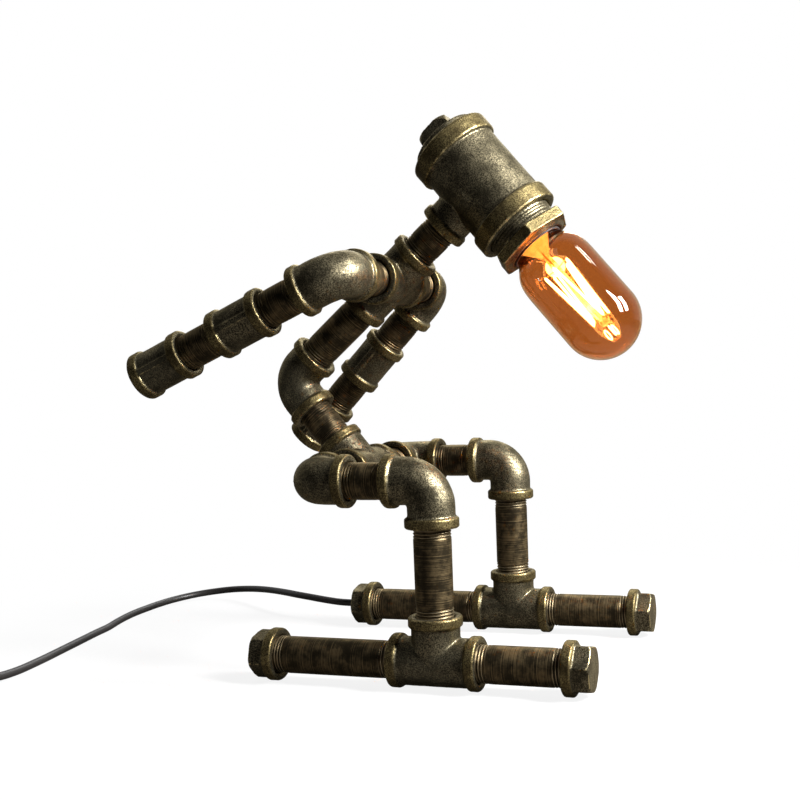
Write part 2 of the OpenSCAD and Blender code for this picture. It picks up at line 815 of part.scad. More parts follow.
foot_tee(near);  // near_foot_tee
foot_nipple(near, 90, near_front_show);  // near_front_pipe
foot_nipple(near, -90, near_rear_show);  // near_rear_pipe
foot_cap(near, 90, near_front_show);  // near_front_cap
foot_cap(near, -90, near_rear_show);  // near_rear_cap
foot_tee(far);  // far_foot_tee
foot_nipple(far, 90, far_front_show);  // far_front_pipe
foot_nipple(far, -90, far_rear_show);  // far_rear_pipe
foot_cap(far, 90, far_front_show);  // far_front_cap
foot_cap(far, -90, far_rear_show, grommet_hole_r);  // far_rear_cap
shin(near);  // near_shin
shin(far);  // far_shin
knee_elbow(near);  // near_knee_elbow
knee_elbow(far);  // far_knee_elbow
thigh(near);  // near_thigh
thigh(far);  // far_thigh
hip_elbow(near, -1);  // near_hip_elbow
hip_elbow(far, 1);  // far_hip_elbow
hip_nipple(-1);  // near_hip_nipple
hip_nipple(1);  // far_hip_nipple
hip_tee();
waist_nipple();
waist_elbow();
spine_nipple();
shoulder_cross();
shoulder_nipple(-1);  // near_shoulder_nipple
shoulder_nipple(1);  // far_shoulder_nipple
shoulder_elbow(near, near_head, -1);  // near_shoulder_elbow
shoulder_elbow(far, far_head, 1);  // far_shoulder_elbow
upper_nipple(near, near_head);  // near_upper_nipple
upper_coupling(near, near_head);  // near_upper_coupling
fore_nipple(near, near_head);  // near_fore_nipple
hand_coupling(near, near_head);  // near_hand_coupling
upper_nipple(far, far_head);  // far_upper_nipple
upper_coupling(far, far_head);  // far_upper_coupling
fore_nipple(far, far_head);  // far_fore_nipple
hand_coupling(far, far_head);  // far_hand_coupling
neck_nipple();
head_tee();
head_plug();
bushing();
lampholder();
holder_shell();
centre_contact();
bulb_base();
bulb_glass();
bulb_stem();
bulb_filament();
grommet();
cord_lead();
switch_base();
switch_cover();
switch_contacts();
switch_rocker();
cord_link();
cord_coil();
coil_tie();
cord_tail();
plug_body();
union() {  // plug_blades
    plug_blade(-6.35);
    plug_blade(6.35);
}
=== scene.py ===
"""Studio scene for a desk lamp put together from blackened pipe fittings.

Lengths are in millimetres and are turned into metres where a mesh is placed.
The lamp faces +X, its left side is +Y and +Z is up.
"""

import math

import bmesh
import bpy
import numpy as np
from mathutils import Matrix, Vector


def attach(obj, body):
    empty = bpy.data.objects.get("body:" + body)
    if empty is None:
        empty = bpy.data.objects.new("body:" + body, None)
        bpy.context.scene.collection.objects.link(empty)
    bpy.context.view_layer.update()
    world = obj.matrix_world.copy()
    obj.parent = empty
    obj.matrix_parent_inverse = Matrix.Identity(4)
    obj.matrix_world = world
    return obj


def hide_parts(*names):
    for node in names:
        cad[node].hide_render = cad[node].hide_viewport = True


MM = 0.001

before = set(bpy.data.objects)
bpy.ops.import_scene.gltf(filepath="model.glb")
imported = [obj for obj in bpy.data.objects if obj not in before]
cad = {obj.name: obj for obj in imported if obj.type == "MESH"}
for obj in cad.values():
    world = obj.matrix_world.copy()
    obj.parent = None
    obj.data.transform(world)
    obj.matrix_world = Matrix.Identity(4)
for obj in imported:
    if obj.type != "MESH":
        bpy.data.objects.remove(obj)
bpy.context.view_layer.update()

# ---- Sizes repeated from the lamp's construction ----

PIPE_R = 10.65
PIPE_WALL = 2.7
CHAMFER = 0.8
ENGAGE = 13.8  # thread hidden inside a fitting
CAP_IN = 12.2  # pipe hidden inside an end cap
PITCH = 1.8
GROOVE = 0.7
ARM = 26.0  # fitting centre to face
GAP = 22.4  # what shows of a short nipple between two fittings
SHIN_GAP = 48.9
SPINE_GAP = 40.7
NECK_GAP = 19.9
FOOT_GAPS = {"near": (47.5, 70.5), "far": (53, 74.5)}  # front and rear
COUPLING = 35.0
SIDE = 74.4  # middle plane to the feet and arms
BAND_R = 15.25
CORD_D = 5.0
HIP_TILT = 50.2
BACK_UP = HIP_TILT - 90
HEAD_RUN = BACK_UP + 180
ARM_TURN = {"near": -112.5, "far": -135.2}
FOOT = Vector((40.69, 0, 15.25))
KNEE = Vector((40.69, 0, 116.15))
HIP = Vector((-33.71, 0, 116.15))
WAIST = Vector((-81.335, 0, 173.31))
SHOULDER = Vector((-10.115, 0, 232.648))
HEAD = Vector((53.345, 0, 285.522))
X, Y, Z = Vector((1, 0, 0)), Vector((0, 1, 0)), Vector((0, 0, 1))
NEAR = -SIDE * Y
FAR = SIDE * Y


def heading(angle):
    """Direction in the lamp's middle plane: 0 is up and 90 is forwards."""
    a = math.radians(angle)
    return Vector((math.sin(a), 0, math.cos(a)))


UP_FRONT, UP_BACK, FACE_WAY = heading(HIP_TILT), heading(BACK_UP), heading(HEAD_RUN)

# ---- Camera, from the fit to the photograph ----

CAMERA_SPOT = Vector((267.05, -659.09, 171.45))
CAMERA_TURN = (18.95, 4.22, -1.97)  # azimuth, elevation and roll in degrees
CAMERA_LENS = 51.57
CAMERA_SHIFT = (-0.0921, 0.0786)


def add_camera():
    azimuth, elevation, roll = (math.radians(angle) for angle in CAMERA_TURN)
    out = math.cos(elevation)
    back = Vector((math.sin(azimuth) * out, -math.cos(azimuth) * out, math.sin(elevation)))
    level = Vector((math.cos(azimuth), math.sin(azimuth), 0))
    above = back.cross(level)
    right = level * math.cos(roll) + above * math.sin(roll)
    up = above * math.cos(roll) - level * math.sin(roll)
    data = bpy.data.cameras.new("camera")
    data.sensor_width = 36
    data.lens = CAMERA_LENS
    data.shift_x, data.shift_y = CAMERA_SHIFT
    data.clip_start = 0.05
    data.clip_end = 50
    camera = bpy.data.objects.new("camera", data)
    turn = Matrix((right, up, back)).transposed().to_4x4()
    camera.matrix_world = Matrix.Translation(CAMERA_SPOT * MM) @ turn
    bpy.context.scene.collection.objects.link(camera)
    bpy.context.scene.camera = camera


add_camera()

# ---- Shared helpers ----


def add_piece(name, data, material, slot, body, *stands_for):
    """Links a finished mesh or curve as a piece that rides on a body."""
    piece = bpy.data.objects.new(name, data)
    bpy.context.scene.collection.objects.link(piece)
    data.materials.clear()
    data.materials.append(material)
    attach(piece, body)
    if stands_for:
        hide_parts(*stands_for)
    return piece


def add_smooth(name, mesh, material, slot, body, *stands_for):
    for face in mesh.polygons:
        face.use_smooth = True
    return add_piece(name, mesh, material, slot, body, *stands_for)


def add_rounds(name, lines, radius, resolution, material, slot, body, *stands_for):
    """Round cords or wires, one along each line of points in metres."""
    data = bpy.data.curves.new(name, "CURVE")
    data.dimensions = "3D"
    data.bevel_depth = radius * MM
    data.bevel_resolution = resolution
    data.use_fill_caps = True
    data.twist_mode = "MINIMUM"
    for line in lines:
        spline = data.splines.new("POLY")
        spline.points.add(len(line) - 1)
        for target, point in zip(spline.points, line):
            target.co = (*point, 1)
        spline.use_smooth = True
    return add_piece(name, data, material, slot, body, *stands_for)


def mesh_from(bm, name):
    """Writes a finished bmesh to a new mesh and frees it."""
    mesh = bpy.data.meshes.new(name)
    bm.to_mesh(mesh)
    bm.free()
    return mesh


def store(mesh, **layers):
    """Keeps numbers at the vertices for a material to read."""
    for key, values in layers.items():
        attribute = mesh.attributes.new(key, "FLOAT", "POINT")
        attribute.data.foreach_set("value", values.astype(np.float32))


def dress(material, *names):
    """Gives a finish to pieces that keep their own solids."""
    for name in names:
        mesh = cad[name].data
        mesh.materials.clear()
        mesh.materials.append(material)


def place(origin, z_axis, x_hint=Y):
    """Matrix in metres for a shape drawn in millimetres along +Z."""
    z = Vector(z_axis).normalized()
    y = z.cross(x_hint).normalized()
    x = y.cross(z)
    turn = Matrix((x, y, z)).transposed().to_4x4()
    return Matrix.Translation(Vector(origin) * MM) @ turn @ Matrix.Scale(MM, 4)


class Nodes:
    """Short calls for building one material's node tree."""

    def __init__(self, name):
        self.material = bpy.data.materials.new(name)
        self.material.use_nodes = True
        self.tree = self.material.node_tree
        self.tree.nodes.clear()
        self.output = self.tree.nodes.new("ShaderNodeOutputMaterial")

    def add(self, kind, inputs=None, **settings):
        node = self.tree.nodes.new("ShaderNode" + kind)
        for key, value in settings.items():
            setattr(node, key, value)
        for key, value in (inputs or {}).items():
            self.put(node, key, value)
        return node

    def put(self, node, key, value):
        if isinstance(value, bpy.types.NodeSocket):
            self.tree.links.new(value, node.inputs[key])
        elif isinstance(value, bpy.types.Node):
            self.tree.links.new(value.outputs[0], node.inputs[key])
        else:
            node.inputs[key].default_value = value

    def math(self, operation, a, b, clamp=False):
        return self.add("Math", {0: a, 1: b}, operation=operation, use_clamp=clamp)

    def mix(self, factor, a, b):
        """Colour a, going over to colour b as the factor rises."""
        node = self.add("Mix", data_type="RGBA")
        self.put(node, 0, factor)
        self.put(node, 6, a)
        self.put(node, 7, b)
        return node.outputs[2]

    def noise(self, scale, detail, roughness):
        spot = self.add("TexCoord").outputs["Object"]
        inputs = {"Vector": spot, "Scale": scale, "Detail": detail, "Roughness": roughness}
        return self.add("TexNoise", inputs).outputs["Fac"]

    def swing(self, noise, amount):
        """Turns a noise of 0 to 1 into one that swings about zero."""
        return self.math("MULTIPLY", self.math("SUBTRACT", noise, 0.5), amount)

    def ramp(self, value, low, high):
        """Smooth step from 0 at low to 1 at high."""
        node = self.add(
            "MapRange",
            {"Value": value, "From Min": low, "From Max": high},
            interpolation_type="SMOOTHSTEP",
        )
        return node.outputs["Result"]

    def attribute(self, name):
        return self.add("Attribute", attribute_name=name).outputs["Fac"]

    def bump(self, height, distance, strength, under=None):
        inputs = {"Height": height, "Distance": distance, "Strength": strength}
        if under is not None:
            inputs["Normal"] = under
        return self.add("Bump", inputs).outputs["Normal"]

    def finish(self, shader):
        self.tree.links.new(shader.outputs[0], self.output.inputs["Surface"])
        return self.material


def rgb(r, g, b):
    return (r, g, b, 1.0)


# ---- Materials ----

GLASS_IOR = 1.46


def blackened_iron():
    """Blackened casting with a sandy skin; bands are browner and edges rubbed to brass."""
    n = Nodes("blackened_iron")
    edge = n.attribute("edge")
    band = n.attribute("band")
    sand = n.noise(1450, 3, 0.6)
    fine = n.noise(3400, 2, 0.6)
    patches = n.noise(85, 4, 0.62)
    clouds = n.noise(28, 2, 0.5)
    sandy = n.ramp(n.math("ADD", sand, n.swing(fine, 0.35)), 0.38, 0.68)
    sandy = n.math("MULTIPLY", sandy, n.math("ADD", 0.3, n.ramp(patches, 0.32, 0.62)), clamp=True)
    body = n.mix(sandy, rgb(0.022, 0.019, 0.012), rgb(0.24, 0.207, 0.13))
    body = n.mix(n.math("MULTIPLY", n.ramp(clouds, 0.5, 0.7), 0.4), body, rgb(0.09, 0.085, 0.06))
    rim = n.mix(sandy, rgb(0.04, 0.029, 0.013), rgb(0.25, 0.2, 0.09))
    colour = n.mix(band, body, rim)
    rubbed = n.math("ADD", edge, n.swing(sand, 0.8))
    rubbed = n.math("ADD", rubbed, n.swing(patches, 0.7))
    brass = n.ramp(rubbed, 0.35, 0.85)
    colour = n.mix(brass, colour, rgb(0.64, 0.52, 0.27))
    rough = n.math("SUBTRACT", 0.46, n.math("MULTIPLY", sandy, 0.1))
    rough = n.math("SUBTRACT", rough, n.math("MULTIPLY", brass, 0.1))
    metal = n.math("ADD", 0.86, n.math("MULTIPLY", brass, 0.1))
    small = n.bump(fine, 0.00005, 0.6)
    coarse = n.bump(sand, 0.00013, 0.8, small)
    shader = n.add(
        "BsdfPrincipled",
        {
            "Base Color": colour,
            "Metallic": metal,
            "Roughness": rough,
            "Specular IOR Level": 0.2,
            "Specular Tint": rgb(1.0, 0.9, 0.68),
            "Normal": coarse,
        },
    )
    return n.finish(shader)


def blackened_pipe():
    """Drawn pipe: darker and smoother, with faint rings and bright thread crests."""
    n = Nodes("blackened_pipe")
    wear = n.attribute("wear")
    along = n.attribute("along")
    rings = n.add(
        "TexNoise",
        {"W": along, "Scale": 1500.0, "Detail": 4.0, "Roughness": 0.7},
        noise_dimensions="1D",
    ).outputs["Fac"]
    blotch = n.noise(120, 5, 0.62)
    speckle = n.noise(2300, 3, 0.6)
    streak = n.math("MULTIPLY", rings, blotch)
    brown = n.ramp(streak, 0.2, 0.36)
    colour = n.mix(brown, rgb(0.028, 0.022, 0.013), rgb(0.16, 0.118, 0.062))
    rust = n.math("MULTIPLY", n.ramp(n.noise(60, 3, 0.6), 0.55, 0.75), 0.45)
    colour = n.mix(rust, colour, rgb(0.17, 0.11, 0.05))
    crest = n.ramp(n.math("ADD", wear, n.swing(speckle, 0.6)), 0.3, 0.95)
    colour = n.mix(crest, colour, rgb(0.5, 0.41, 0.26))
    rough = n.math("ADD", 0.34, n.math("MULTIPLY", blotch, 0.2))
    metal = n.math("ADD", 0.84, n.math("MULTIPLY", crest, 0.1))
    small = n.bump(speckle, 0.00006, 0.5)
    turned = n.bump(rings, 0.00006, 0.6, small)
    shader = n.add(
        "BsdfPrincipled",
        {
            "Base Color": colour,
            "Metallic": metal,
            "Roughness": rough,
            "Specular IOR Level": 0.2,
            "Specular Tint": rgb(1.0, 0.88, 0.66),
            "Normal": turned,
        },
    )
    return n.finish(shader)


def plain_finish(name, colour, roughness, metallic=0.0, grain=1500.0, depth=0.00004):
    """Moulded or pressed surface with a fine grain and slight colour variation."""
    n = Nodes(name)
    fine = n.noise(grain, 4, 0.6)
    broad = n.noise(60, 3, 0.5)
    darker = rgb(*(c * 0.78 for c in colour))
    tone = n.mix(n.ramp(broad, 0.35, 0.65), darker, rgb(*colour))
    rough = n.math("ADD", roughness - 0.05, n.math("MULTIPLY", fine, 0.1))
    shader = n.add(
        "BsdfPrincipled",
        {
            "Base Color": tone,
            "Metallic": metallic,
            "Roughness": rough,
            "Normal": n.bump(fine, depth, 0.6),
        },
    )
    return n.finish(shader)


def clear_glass(name, colour):
    """Glass that lets lamps through, so that what it holds is lit."""
    n = Nodes(name)
    glass = n.add(
        "BsdfPrincipled",
        {
            "Base Color": rgb(*colour),
            "Roughness": 0.0,
            "IOR": GLASS_IOR,
            "Transmission Weight": 1.0,
        },
    )
    open_way = n.add("BsdfTransparent", {"Color": rgb(*(c * c for c in colour))})
    shadow = n.add("LightPath").outputs["Is Shadow Ray"]
    return n.finish(n.add("MixShader", {0: shadow, 1: glass, 2: open_way}))


def stem_glass():
    """Pressed glass foot of the filament, a little cloudy, with a painted glow: it gives off warm
    light of its own in place of the filament's light falling on it.
    """
    n = Nodes("stem_glass")
    cloud = n.noise(260, 3, 0.6)
    # Painted glow: orange to yellow light given off by the glass itself, standing in for the
    # filament's light on it.
    glow = n.mix(n.ramp(cloud, 0.35, 0.65), rgb(1.0, 0.36, 0.06), rgb(1.0, 0.86, 0.42))
    shader = n.add(
        "BsdfPrincipled",
        {
            "Base Color": n.mix(cloud, rgb(0.95, 0.82, 0.55), rgb(1.0, 0.93, 0.75)),
            "Roughness": n.math("ADD", 0.08, n.math("MULTIPLY", cloud, 0.2)),
            "IOR": GLASS_IOR,
            "Transmission Weight": 0.55,
            "Emission Color": glow,
            "Emission Strength": 0.8,
        },
    )
    return n.finish(shader)


def glowing_wire():
    n = Nodes("glowing_wire")
    heat = n.add("Emission", {"Color": rgb(1.0, 0.8, 0.5), "Strength": 26.0})
    return n.finish(heat)


IRON = blackened_iron()
PIPE = blackened_pipe()
CORD = plain_finish("cord_sheath", (0.022, 0.02, 0.019), 0.42, grain=900.0)
MOULDED = plain_finish("moulded_black", (0.026, 0.025, 0.024), 0.5, grain=2200.0, depth=0.00008)
ROCKER = plain_finish("rocker_gloss", (0.035, 0.033, 0.032), 0.24, grain=700.0, depth=0.00002)
BRASS = plain_finish("pressed_brass", (0.7, 0.5, 0.22), 0.3, metallic=1.0, grain=1200.0)
HOLDER = plain_finish("lampholder_black", (0.035, 0.03, 0.027), 0.35, grain=1100.0)
TIE = plain_finish("tie_black", (0.03, 0.03, 0.03), 0.6, grain=1900.0)
AMBER = clear_glass("amber_glass", (0.6, 0.3, 0.12))
STEM = stem_glass()
WIRE = glowing_wire()

# ---- Cord: the same route as the solids, drawn as smooth curves ----

LEAD_WAY = [
    (-66, 74.4, 15.2), (-78, 74.4, 15.2), (-90, 75, 15.4), (-104, 78.5, 16),
    (-118, 84, 16.4), (-132, 91.5, 16.2), (-146, 101, 15.6), (-160, 111, 14.6),
    (-174, 120.5, 13.4), (-188, 129, 12), (-202, 136, 10.4), (-216, 140, 8.8),
    (-229, 140, 7.2), (-241, 135.5, 5.8), (-250, 126.5, 4.7), (-256, 114, 3.9),
    (-259, 100, 3.3), (-260, 86, 2.8), (-259.5, 71, 2.6), (-257, 55, 2.5),
    (-253, 39, 2.5), (-248, 22, 2.5), (-245, 5, 2.5), (-241.5, -12, 2.5),
    (-238, -29, 2.5), (-234.5, -46, 2.5), (-231, -63, 2.5), (-228, -80, 2.5),
    (-225.5, -97, 2.6), (-224, -114, 3.5), (-224, -130, 5.6), (-224, -142, 7.2),
    (-224, -150, 7.5), (-224, -156, 7.5),
]  # fmt: skip
LINK_WAY = [
    (-224, -206, 7.5), (-224, -212, 7.5), (-224, -220, 7.1), (-224, -229, 5.6),
    (-224, -236, 3.9), (-224, -243, 3.4), (-224, -250, 3.4),
]  # fmt: skip
TAIL_WAY = [
    (-296, -250, 8.9), (-296, -243, 8.9), (-296, -236, 8.5), (-296, -229, 8), (-296, -224, 8),
]  # fmt: skip
COIL_CENTRE = Vector((-260, -255, 3.4))
COIL_TURNS = 7.5
COIL_R = 36.0
COIL_PITCH = 5.5
COIL_STEPS = 24  # points in a turn


def coil_way():
    """Flat spiral inwards, a step up in its middle turn, and a second spiral out on top."""
    points = []
    steps = round(COIL_STEPS * COIL_TURNS)
    for i in range(steps + 1):
        turn = i * COIL_TURNS / steps
        r = COIL_R - COIL_PITCH * min(turn, COIL_TURNS - turn)
        a = -2 * math.pi * turn
        climb = min(max(2 * (turn - COIL_TURNS / 2) + 0.5, 0), 1)
        rise = COIL_PITCH * climb * climb * (3 - 2 * climb)
        points.append(COIL_CENTRE + Vector((r * math.cos(a), r * math.sin(a), rise)))
    return points


def smooth_way(points, parts):
    """Curve through every given point, with that many parts between each two."""
    p = [Vector(q) for q in points]
    p = [2 * p[0] - p[1], *p, 2 * p[-1] - p[-2]]
    out = []
    for i in range(1, len(p) - 2):
        for k in range(parts):
            t = k / parts
            a = 2 * p[i]
            b = (p[i + 1] - p[i - 1]) * t
            c = (2 * p[i - 1] - 5 * p[i] + 4 * p[i + 1] - p[i + 2]) * t * t
            d = (3 * p[i] - p[i - 1] - 3 * p[i + 1] + p[i + 2]) * t**3
            out.append((a + b + c + d) / 2)
    out.append(p[-2])
    return out


def cord_piece(name, points, *stands_for):
    line = [point * MM for point in points]
    return add_rounds(name, [line], CORD_D / 2, 4, CORD, "cord_black", "legs", *stands_for)


def add_cords():
    lead = smooth_way(LEAD_WAY, 4)
    rest = smooth_way([*LINK_WAY, *coil_way(), *TAIL_WAY], 2)
    first = cord_piece("lamp_cord", lead, "cord_lead")
    second = cord_piece("plug_cord", rest, "cord_link", "cord_coil", "cord_tail")


add_cords()

# ---- Castings ----

SMOOTHING = (0.5, -0.52) * 4  # in and out again, so that edges soften and nothing shrinks
SEAM_LIFT, SEAM_WIDTH = 0.2, 0.45
WAVES = 12
WAVE_SUM = 4.9  # brings the sum of that many waves back to about 1
BROAD_LIFT, BROAD_SIZE = 0.05, 9.0  # unevenness of the cast skin
FINE_LIFT, FINE_SIZE = 0.035, 3.2
BEND_GAIN, BEND_START = 9, 0.25  # how soon a convex edge counts as rubbed
SOCKET_WALL = (10.2, 11.6)  # radii between which a socket's thread is cut
HEAD_HALF = 33.5
NECK_FACE = 36.7
CAP_BAND = (0, 6, BAND_R)  # from, to and radius of a band
HEXAGON_BAND = (41.3, 48.4, 21.8)

def link_sum(values, edges, count):
    """For each vertex, the sum of the values at its neighbours."""
    out = np.zeros((count, values.shape[1]))
    for k in range(values.shape[1]):
        out[:, k] += np.bincount(edges[:, 0], values[edges[:, 1], k], count)
        out[:, k] += np.bincount(edges[:, 1], values[edges[:, 0], k], count)
    return out


def mesh_numbers(mesh):
    """Places and normals of the vertices, and the pair of vertices of each edge."""
    count = len(mesh.vertices)
    co = np.zeros(count * 3)
    mesh.vertices.foreach_get("co", co)
    normal = np.zeros(count * 3)
    mesh.vertices.foreach_get("normal", normal)
    edges = np.zeros(len(mesh.edges) * 2, int)
    mesh.edges.foreach_get("vertices", edges)
    return co.reshape(-1, 3), normal.reshape(-1, 3), edges.reshape(-1, 2)


def remeshed(source, voxel):
    """Even, closed mesh of a solid's shape, made from a merged copy."""
    bm = bmesh.new()
    bm.from_mesh(source.data)
    bmesh.ops.remove_doubles(bm, verts=bm.verts, dist=0.00001)
    rough = mesh_from(bm, "rough")
    holder = bpy.data.objects.new("holder", rough)
    bpy.context.scene.collection.objects.link(holder)
    modifier = holder.modifiers.new("even", "REMESH")
    modifier.mode = "VOXEL"
    modifier.voxel_size = voxel * MM
    modifier.use_smooth_shade = True
    evaluated = holder.evaluated_get(bpy.context.evaluated_depsgraph_get())
    mesh = bpy.data.meshes.new_from_object(evaluated)
    bpy.data.objects.remove(holder)
    bpy.data.meshes.remove(rough)
    return mesh


def wave_noise(points, size, seed):
    """Smooth, repeatable unevenness between -1 and 1 made of crossing waves."""
    rng = np.random.default_rng(seed)
    total = np.zeros(len(points))
    for _ in range(WAVES):
        direction = rng.normal(size=3)
        direction /= np.linalg.norm(direction)
        length = size * rng.uniform(0.6, 1.6)
        total += np.sin(points @ direction * 2 * math.pi / length + rng.uniform(0, 6.28))
    return total / WAVE_SUM


def cast(name, body, centre, seam, bands, voxel=0.6, inner=None):
    """Cast fitting: softened edges, a parting seam, an uneven skin and worn bands.

    bands holds (axis, from, to, radius) for each thickened mouth, from the centre,
    and inner (axis, face, depth) for a socket whose thread is cut.
    """
    mesh = remeshed(cad[name], voxel)
    co, normal, edges = mesh_numbers(mesh)
    co = co / MM
    count = len(co)
    valence = np.maximum(np.bincount(edges.ravel(), minlength=count), 1)[:, None]
    for share in SMOOTHING:
        co += share * (link_sum(co, edges, count) / valence - co)
    rel = co - np.array(centre)
    outer = np.ones(count)
    band = np.zeros(count)
    for axis, low, high, radius in bands:
        reach, spread, from_axis = round_axis(rel, axis)
        facing = np.einsum("ij,ij->i", normal, spread) / from_axis
        outer[(reach > 2) & (from_axis < radius - 3.2) & (facing < -0.3)] = 0  # bore
        skin = np.clip((from_axis - (radius - 1.2)) / 0.7, 0, 1)
        span = np.clip((reach - low + 0.4) / 0.6, 0, 1) * np.clip((high + 0.6 - reach) / 0.6, 0, 1)
        band = np.maximum(band, skin * span)
    lift = BROAD_LIFT * wave_noise(co, BROAD_SIZE, len(name))
    lift += FINE_LIFT * wave_noise(co, FINE_SIZE, len(name) + 7)
    if seam is not None:
        off = rel @ np.array(seam)
        lift += SEAM_LIFT * np.exp(-((off / SEAM_WIDTH) ** 2)) * (1 - band)
    co += normal * (lift * outer)[:, None]
    if inner is not None:
        cut_thread(co, rel, inner)
    mesh.vertices.foreach_set("co", (co * MM).ravel())
    mesh.update()
    co, normal, edges = mesh_numbers(mesh)
    bend = np.einsum("ij,ij->i", normal, co - link_sum(co, edges, count) / valence)
    bend = bend[:, None] / (voxel * MM)
    for _ in range(2):
        bend = 0.4 * bend + 0.6 * link_sum(bend, edges, count) / valence
    edge = np.clip(bend[:, 0] * BEND_GAIN - BEND_START, -0.6, 1.0) * outer
    store(mesh, edge=edge, band=band * outer)
    return add_smooth(name + "_casting", mesh, IRON, "blackened_fitting", body, name)


def round_axis(rel, axis):
    """Distance along an axis, and the offset from it as a vector and a length."""
    axis = np.array(axis)
    reach = rel @ axis
    spread = rel - np.outer(reach, axis)
    return reach, spread, np.maximum(np.linalg.norm(spread, axis=1), 1e-6)


def cut_thread(co, rel, inner):
    """Cuts a helical groove into the socket that opens at a face."""
    axis, face, depth = inner
    reach, spread, from_axis = round_axis(rel, axis)
    side = np.cross(axis, Y)
    side /= np.linalg.norm(side)
    angle = np.arctan2(spread @ np.cross(axis, side), spread @ side)
    phase = reach / PITCH - angle / (2 * math.pi)
    wall = (from_axis > SOCKET_WALL[0]) & (from_axis < SOCKET_WALL[1])
    open_end = (reach < face + 0.5) & (reach > face - depth)
    cut = GROOVE * (0.5 - 0.5 * np.cos(2 * math.pi * phase)) * wall * open_end
    co += spread / from_axis[:, None] * cut[:, None]


def mouth(axis, face=ARM, width=6.0, radius=BAND_R):
    """Band of a thickened mouth, from its face inwards."""
    return (tuple(axis), face - width, face, radius)


def add_castings():
    for side, at, into in (("near", NEAR, Y), ("far", FAR, -Y)):
        cast(f"{side}_foot_tee", "legs", FOOT + at, Y, [mouth(a) for a in (X, -X, Z)])
        cast(f"{side}_knee_elbow", "legs", KNEE + at, Y, [mouth(a) for a in (-X, -Z)])
        cast(f"{side}_hip_elbow", "legs", HIP + at, Z, [mouth(a) for a in (X, into)])
        for end, way, gap in zip(("front", "rear"), (X, -X), FOOT_GAPS[side]):
            cap_face = FOOT + at + way * (ARM + gap)
            rim = (tuple(way), *CAP_BAND)
            cast(f"{side}_{end}_cap", "legs", cap_face, None, [rim], 0.5)
        arm = f"{side}_arm"
        out, seam = heading(ARM_TURN[side]), heading(ARM_TURN[side] + 90)
        mouths = [mouth(a) for a in (out, into)]
        cast(f"{side}_shoulder_elbow", arm, SHOULDER + at, seam, mouths)
        half = COUPLING / 2
        ends = [mouth(a, half, 6.4, 14.5) for a in (out, -out)]
        middle = SHOULDER + at + out * (ARM + GAP + half)
        cast(f"{side}_upper_coupling", arm, middle, None, ends, 0.55)
        middle += out * (COUPLING + GAP)
        socket = (tuple(out), half, 13.0)
        cast(f"{side}_hand_coupling", arm, middle, None, ends, 0.45, socket)
    cast("hip_tee", "torso", HIP, Y.cross(UP_BACK), [mouth(a) for a in (Y, -Y, UP_BACK)])
    cast("waist_elbow", "spine", WAIST, Y, [mouth(a) for a in (-UP_BACK, UP_FRONT)])
    mouths = [mouth(a) for a in (Y, -Y, UP_FRONT, -UP_FRONT)]
    cast("shoulder_cross", "shoulders", SHOULDER, Y.cross(UP_FRONT), mouths)
    big_mouths = [mouth(a, HEAD_HALF, 11, 26.6) for a in (FACE_WAY, -FACE_WAY)]
    cast("head_tee", "head", HEAD, Y, [*big_mouths, mouth(-UP_FRONT, NECK_FACE)], 0.7)
    cast("head_plug", "head", HEAD, None, [], 0.5)
    cast("bushing", "head", HEAD, None, [(tuple(FACE_WAY), *HEXAGON_BAND)], 0.5)


add_castings()

# ---- Nipples, with a helical thread at each end ----

SHORT = GAP + 2 * ENGAGE
INTO = ARM - ENGAGE  # fitting centre to the end of the pipe in it
THREAD_SHOW = 3 * PITCH  # thread that shows outside a fitting
THREAD_STEP = 0.3  # between the rings of vertices that carry the groove
PLAIN_STEP = 3.0
PIPE_SIDES = 72


def pipe_mesh(name, length, low, high):
    """Hollow pipe on +Z with fine rings where its threads show."""
    end, zone = length - high, THREAD_SHOW
    levels = [CHAMFER, low - 2]
    levels += list(np.arange(low - 1.7, low + zone + 1, THREAD_STEP))
    levels += list(np.arange(low + zone + 3, end - zone - 2, PLAIN_STEP))
    levels += list(np.arange(end - zone - 1, end + 1.8, THREAD_STEP))
    levels += [end + 2, length - CHAMFER]
    rim, bore = PIPE_R - CHAMFER, PIPE_R - PIPE_WALL
    path = [(PIPE_R, z) for z in levels] + [(rim, length), (bore, length), (bore, 0)]
    bm = bmesh.new()
    bmesh.ops.create_circle(bm, segments=PIPE_SIDES, radius=rim)
    first = ring = list(bm.edges)
    radius, height = rim, 0.0
    for r, z in path:
        made = bmesh.ops.extrude_edge_only(bm, edges=ring)["geom"]
        ring = [g for g in made if isinstance(g, bmesh.types.BMEdge)]
        verts = [g for g in made if isinstance(g, bmesh.types.BMVert)]
        bmesh.ops.scale(bm, vec=(r / radius, r / radius, 1), verts=verts)
        bmesh.ops.translate(bm, vec=(0, 0, z - height), verts=verts)
        radius, height = r, z
    bmesh.ops.bridge_loops(bm, edges=first + ring)
    bmesh.ops.recalc_face_normals(bm, faces=bm.faces)
    return mesh_from(bm, name)


